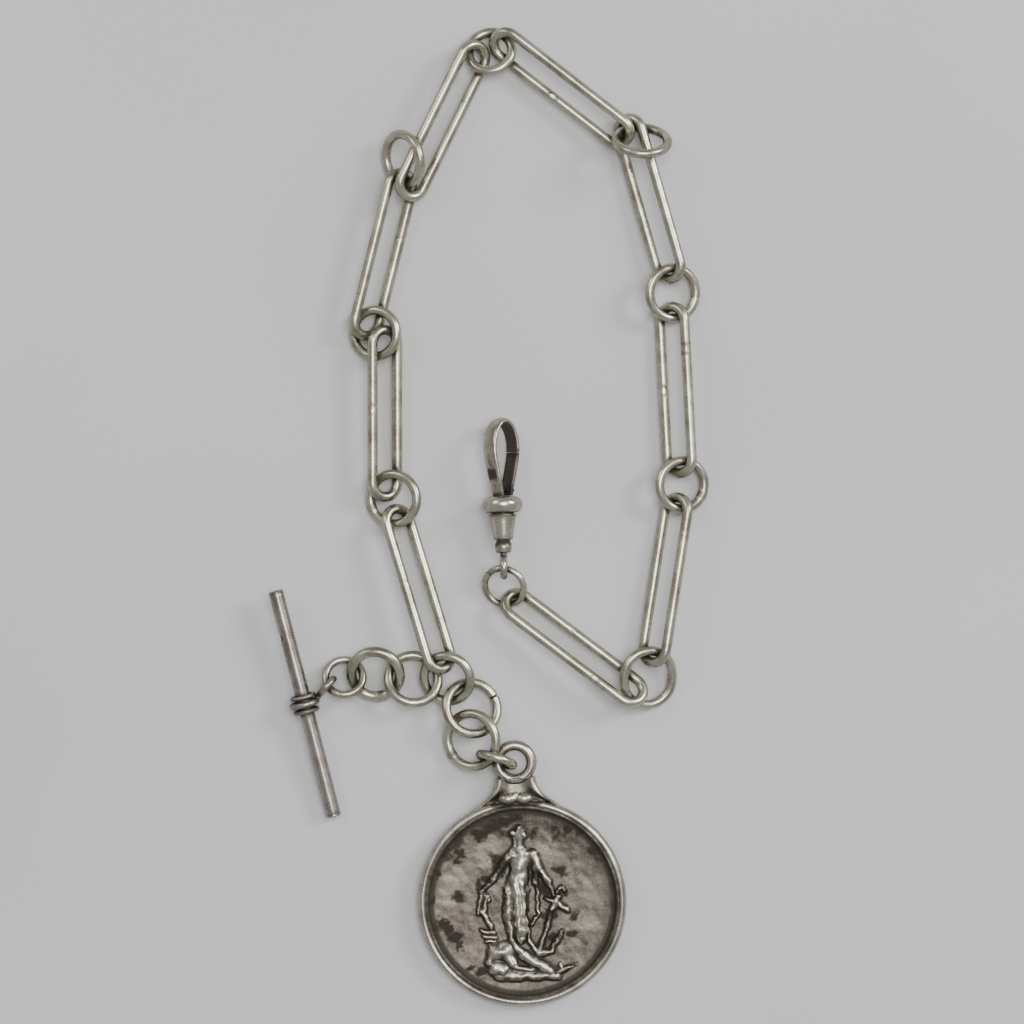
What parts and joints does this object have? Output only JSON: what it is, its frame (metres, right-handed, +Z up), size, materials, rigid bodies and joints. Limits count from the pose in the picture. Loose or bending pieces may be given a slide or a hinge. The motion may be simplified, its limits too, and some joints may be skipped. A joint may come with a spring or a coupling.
{
  "type": "pocket watch chain",
  "caption": "Long-link pocket watch chain with a T-bar, a swivelling dog clip and a short drop carrying a round relief medal in a looped rim",
  "frame": {"origin": "middle of the bounding box at the table plane the chain lies on", "axes": "+Y along the length of the laid-out chain from the medal towards the far bend, +X across it towards the side of the clip end, +Z up from the table"},
  "size_m": [0.0714, 0.159, 0.0091],
  "materials": {
    "worn_silver": "worn silver, softly polished with dark tarnish in the recesses",
    "pale_silver": "rubbed silver, brighter where handled",
    "dark_silver": "dark tarnished silver"
  },
  "bodies": {
    "centre_ring": {"centre_ring": "worn_silver"},
    "link_i": {"link_i": "worn_silver"},
    "ring_9": {"ring_9": "worn_silver"},
    "link_h": {"link_h": "worn_silver"},
    "ring_8": {"ring_8": "worn_silver"},
    "link_g": {"link_g": "worn_silver"},
    "ring_7": {"ring_7": "worn_silver"},
    "link_f": {"link_f": "worn_silver"},
    "ring_6": {"ring_6": "worn_silver"},
    "link_e": {"link_e": "worn_silver"},
    "ring_5": {"ring_5": "worn_silver"},
    "link_d": {"link_d": "worn_silver"},
    "ring_4": {"ring_4": "worn_silver"},
    "link_c": {"link_c": "worn_silver"},
    "ring_3": {"ring_3": "worn_silver"},
    "link_b": {"link_b": "worn_silver"},
    "ring_2": {"ring_2": "worn_silver"},
    "link_a": {"link_a": "worn_silver"},
    "ring_1": {"ring_1": "worn_silver"},
    "tbar_ring_1": {"tbar_ring_1": "worn_silver"},
    "tbar_ring_2": {"tbar_ring_2": "worn_silver"},
    "tbar_ring_3": {"tbar_ring_3": "worn_silver"},
    "drop_ring_1": {"drop_ring_1": "worn_silver"},
    "drop_ring_2": {"drop_ring_2": "worn_silver"},
    "drop_jump_ring": {"drop_jump_ring": "worn_silver"},
    "tbar_swivel": {"tbar_loop": "pale_silver"},
    "tbar": {"tbar_bar": "pale_silver", "tbar_end_cap_upper": "pale_silver", "tbar_end_cap_lower": "pale_silver", "tbar_stop_upper": "pale_silver", "tbar_stop_lower": "pale_silver"},
    "clip_swivel": {"clip_shank": "pale_silver"},
    "clip": {"clip_collar": "pale_silver", "clip_barrel": "pale_silver", "clip_neck_bead": "pale_silver", "clip_hook": "pale_silver", "clip_gate_pin": "dark_silver"},
    "gate": {"clip_gate": "dark_silver"},
    "medal": {"medal_disc": "worn_silver", "medal_frame": "worn_silver", "medal_scroll": "worn_silver"}
  },
  "joints": [
    {"name": "link_i_swing", "type": "hinge", "parent": "centre_ring", "child": "link_i", "pos_m": [-0.00809, -0.02249, 0.00322], "axis": [0, 0, 1], "range_deg": [-10, 10]},
    {"name": "ring_9_swing", "type": "hinge", "parent": "link_i", "child": "ring_9", "pos_m": [-0.01467, -0.00098, 0.00243], "axis": [0, 0, -1], "range_deg": [-15, 15]},
    {"name": "link_h_swing", "type": "hinge", "parent": "ring_9", "child": "link_h", "pos_m": [-0.01688, 0.00552, 0.0021], "axis": [0, 0, 1], "range_deg": [-15, 15]},
    {"name": "ring_8_swing", "type": "hinge", "parent": "link_h", "child": "ring_8", "pos_m": [-0.01688, 0.02802, 0.00249], "axis": [0, 0, -1], "range_deg": [-8, 6]},
    {"name": "link_g_swing", "type": "hinge", "parent": "ring_8", "child": "link_g", "pos_m": [-0.0198, 0.03165, 0.00203], "axis": [0, 0, 1], "range_deg": [-8, 6]},
    {"name": "ring_7_swing", "type": "hinge", "parent": "link_g", "child": "ring_7", "pos_m": [-0.01436, 0.05348, 0.00242], "axis": [0, 0, -1], "range_deg": [-15, 6]},
    {"name": "link_f_swing", "type": "hinge", "parent": "ring_7", "child": "link_f", "pos_m": [-0.0124, 0.05407, 0.00355], "axis": [0, 0, 1], "range_deg": [-4, 7]},
    {"name": "ring_6_swing", "type": "hinge", "parent": "link_f", "child": "ring_6", "pos_m": [-0.00255, 0.07426, 0.00237], "axis": [0, 0, -1], "range_deg": [-15, 3]},
    {"name": "link_e_swing", "type": "hinge", "parent": "ring_6", "child": "link_e", "pos_m": [0.00296, 0.07639, 0.00267], "axis": [0, 0, 1], "range_deg": [-3, 12]},
    {"name": "ring_5_swing", "type": "hinge", "parent": "link_e", "child": "ring_5", "pos_m": [0.02068, 0.06255, 0.00345], "axis": [0, 0, -1], "range_deg": [-15, 6]},
    {"name": "link_d_swing", "type": "hinge", "parent": "ring_5", "child": "link_d", "pos_m": [0.02292, 0.06237, 0.0021], "axis": [0, 0, 1], "range_deg": [-6, 15]},
    {"name": "ring_4_swing", "type": "hinge", "parent": "link_d", "child": "ring_4", "pos_m": [0.02912, 0.04076, 0.00288], "axis": [0, 0, -1], "range_deg": [-3, 3]},
    {"name": "link_c_swing", "type": "hinge", "parent": "ring_4", "child": "link_c", "pos_m": [0.02973, 0.0318, 0.00203], "axis": [0, 0, 1], "range_deg": [-4, 5]},
    {"name": "ring_3_swing", "type": "hinge", "parent": "link_c", "child": "ring_3", "pos_m": [0.03091, 0.00933, 0.00242], "axis": [0, 0, -1], "range_deg": [-3, 6]},
    {"name": "link_b_swing", "type": "hinge", "parent": "ring_3", "child": "link_b", "pos_m": [0.03038, 0.00087, 0.00223], "axis": [0, 0, 1], "range_deg": [-6, 3]},
    {"name": "ring_2_swing", "type": "hinge", "parent": "link_b", "child": "ring_2", "pos_m": [0.02686, -0.02134, 0.00301], "axis": [0, 0, -1], "range_deg": [-4, 4]},
    {"name": "link_a_swing", "type": "hinge", "parent": "ring_2", "child": "link_a", "pos_m": [0.02279, -0.02799, 0.00318], "axis": [0, 0, 1], "range_deg": [-3, 14]},
    {"name": "ring_1_swing", "type": "hinge", "parent": "link_a", "child": "ring_1", "pos_m": [0.00485, -0.01447, 0.002], "axis": [0, 0, -1], "range_deg": [-15, 4]},
    {"name": "tbar_ring_1_swing", "type": "hinge", "parent": "centre_ring", "child": "tbar_ring_1", "pos_m": [-0.00953, -0.02628, 0.00241], "axis": [0, 0, 1], "range_deg": [-5, 5]},
    {"name": "tbar_ring_2_swing", "type": "hinge", "parent": "tbar_ring_1", "child": "tbar_ring_2", "pos_m": [-0.01533, -0.02593, 0.00233], "axis": [0, 0, -1], "range_deg": [-3, 3]},
    {"name": "tbar_ring_3_swing", "type": "hinge", "parent": "tbar_ring_2", "child": "tbar_ring_3", "pos_m": [-0.02093, -0.02578, 0.00223], "axis": [0, 0, 1], "range_deg": [-4, 3]},
    {"name": "drop_ring_1_swing", "type": "hinge", "parent": "centre_ring", "child": "drop_ring_1", "pos_m": [-0.00478, -0.02863, 0.00245], "axis": [0, 0, 1], "range_deg": [-3, 7]},
    {"name": "drop_ring_2_swing", "type": "hinge", "parent": "drop_ring_1", "child": "drop_ring_2", "pos_m": [-0.00278, -0.03363, 0.00252], "axis": [0, 0, -1], "range_deg": [-15, 15]},
    {"name": "drop_jump_ring_swing", "type": "hinge", "parent": "drop_ring_2", "child": "drop_jump_ring", "pos_m": [-0.00078, -0.03778, 0.00308], "axis": [0, 0, 1], "range_deg": [-10, 3]},
    {"name": "tbar_swivel_swing", "type": "hinge", "parent": "tbar_ring_3", "child": "tbar_swivel", "pos_m": [-0.02628, -0.0275, 0.00244], "axis": [0, 0, -1], "range_deg": [-3, 15]},
    {"name": "clip_swivel_swing", "type": "hinge", "parent": "ring_1", "child": "clip_swivel", "pos_m": [0.00241, -0.00813, 0.00359], "axis": [0, 0, 1], "range_deg": [-14, 8]},
    {"name": "medal_swing", "type": "hinge", "parent": "drop_jump_ring", "child": "medal", "pos_m": [0.00415, -0.03982, 0.00253], "axis": [0, 0, -1], "range_deg": [-15, 15]},
    {"name": "tbar_turn", "type": "hinge", "parent": "tbar_swivel", "child": "tbar", "pos_m": [-0.02986, -0.03033, 0.00251], "axis": [0.2464, -0.9668, -0.068], "continuous": true},
    {"name": "clip_turn", "type": "hinge", "parent": "clip_swivel", "child": "clip", "pos_m": [0.00222, 0.00197, 0.00329], "axis": [-0.0192, 0.9994, -0.0297], "continuous": true},
    {"name": "gate_open", "type": "hinge", "parent": "clip", "child": "gate", "pos_m": [0.00302, 0.00431, 0.00251], "axis": [0.6422, 0.0351, 0.7657], "range_deg": [0, 18], "stiffness_Nm_per_rad": 0.002}
  ]
}
